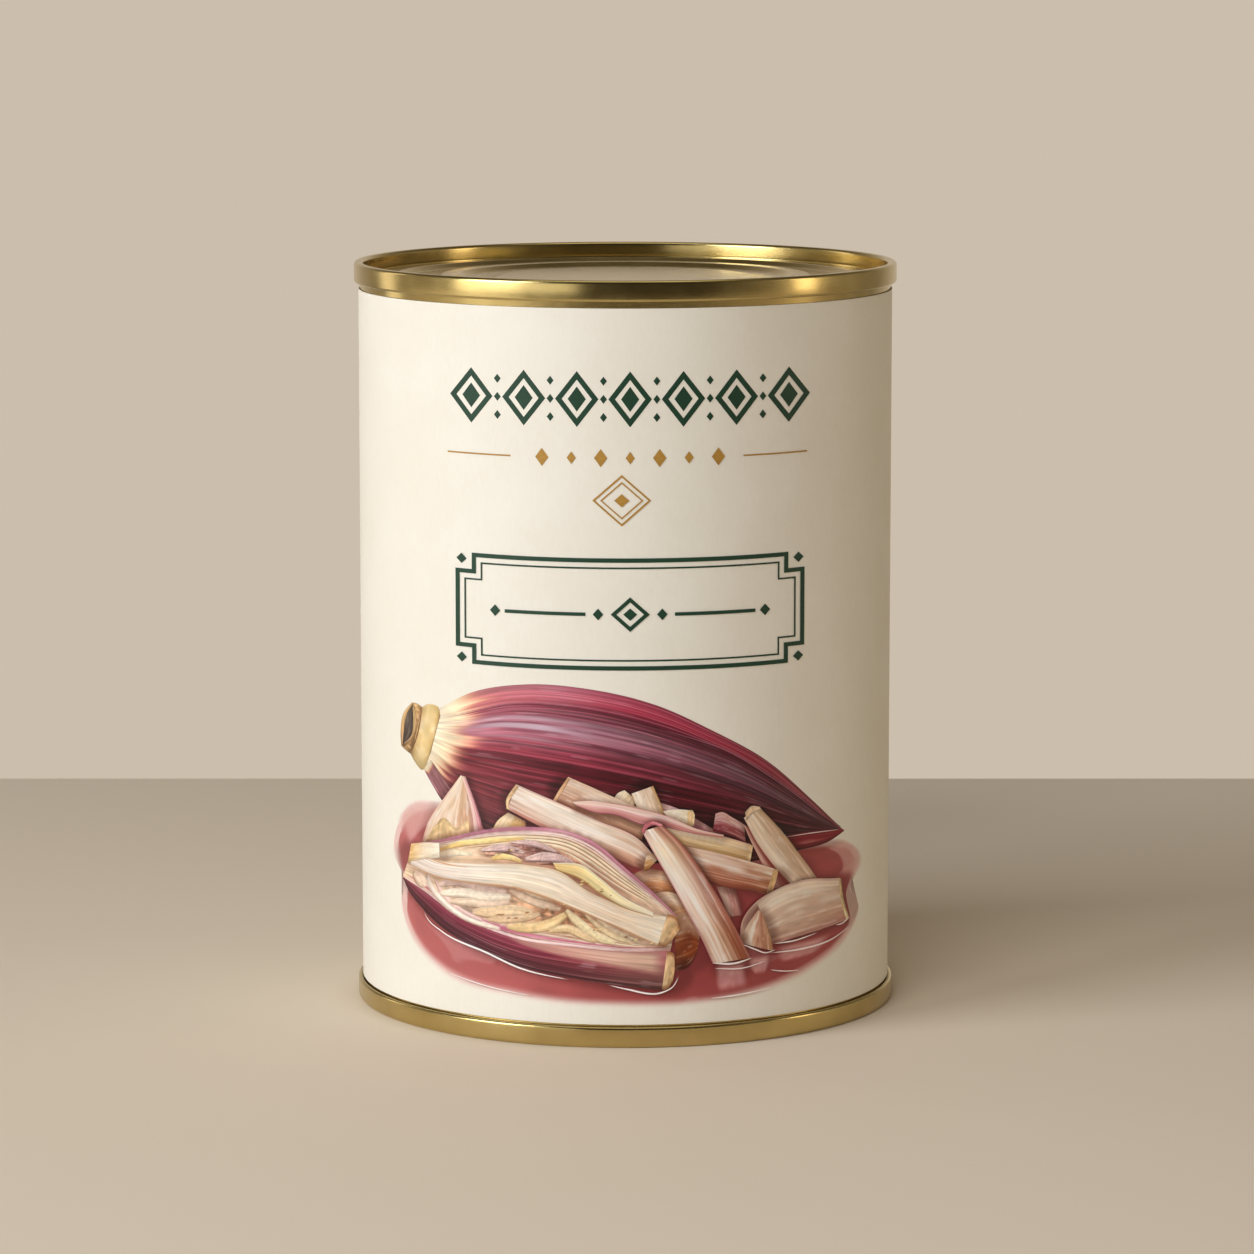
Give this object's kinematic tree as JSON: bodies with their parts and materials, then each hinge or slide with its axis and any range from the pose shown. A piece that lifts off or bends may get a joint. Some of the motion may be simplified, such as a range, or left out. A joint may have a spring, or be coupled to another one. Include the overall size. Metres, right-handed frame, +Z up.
{
  "type": "food can",
  "caption": "Cylindrical food can with double-seamed gold ends, recessed beaded lid, and a wrapped paper label picturing a whole and cut banana blossom.",
  "frame": {"origin": "centre of the can's base, on the plane that the bottom seam rests on", "axes": "+Z up along the can's axis; -Y towards the front of the label, its lap at +Y"},
  "size_m": [0.081, 0.081, 0.1111],
  "materials": {
    "lacquered_tinplate": "satin gold lacquer on tinplate",
    "sealing_compound": "matte",
    "label_paper": "uncoated cream label paper, printed",
    "label_glue": "dried glue film",
    "brine": "clear rose-tinted liquid",
    "blossom_flesh": "wet, fibrous",
    "blossom_heart": "wet, fibrous"
  },
  "bodies": {
    "root": {"can_body": "lacquered_tinplate", "top_end": "lacquered_tinplate", "bottom_end": "lacquered_tinplate", "top_sealing_compound": "sealing_compound", "bottom_sealing_compound": "sealing_compound", "paper_label": "label_paper", "label_lap_glue": "label_glue", "label_pick_up_glue": "label_glue", "brine": "brine", "blossom_strip_01": "blossom_flesh", "blossom_strip_02": "blossom_flesh", "blossom_strip_03": "blossom_flesh", "blossom_strip_04": "blossom_flesh", "blossom_strip_05": "blossom_flesh", "blossom_strip_06": "blossom_flesh", "blossom_strip_07": "blossom_flesh", "blossom_strip_08": "blossom_flesh", "blossom_strip_09": "blossom_flesh", "blossom_strip_10": "blossom_flesh", "blossom_heart_1": "blossom_heart", "blossom_heart_2": "blossom_heart"}
  },
  "joints": []
}
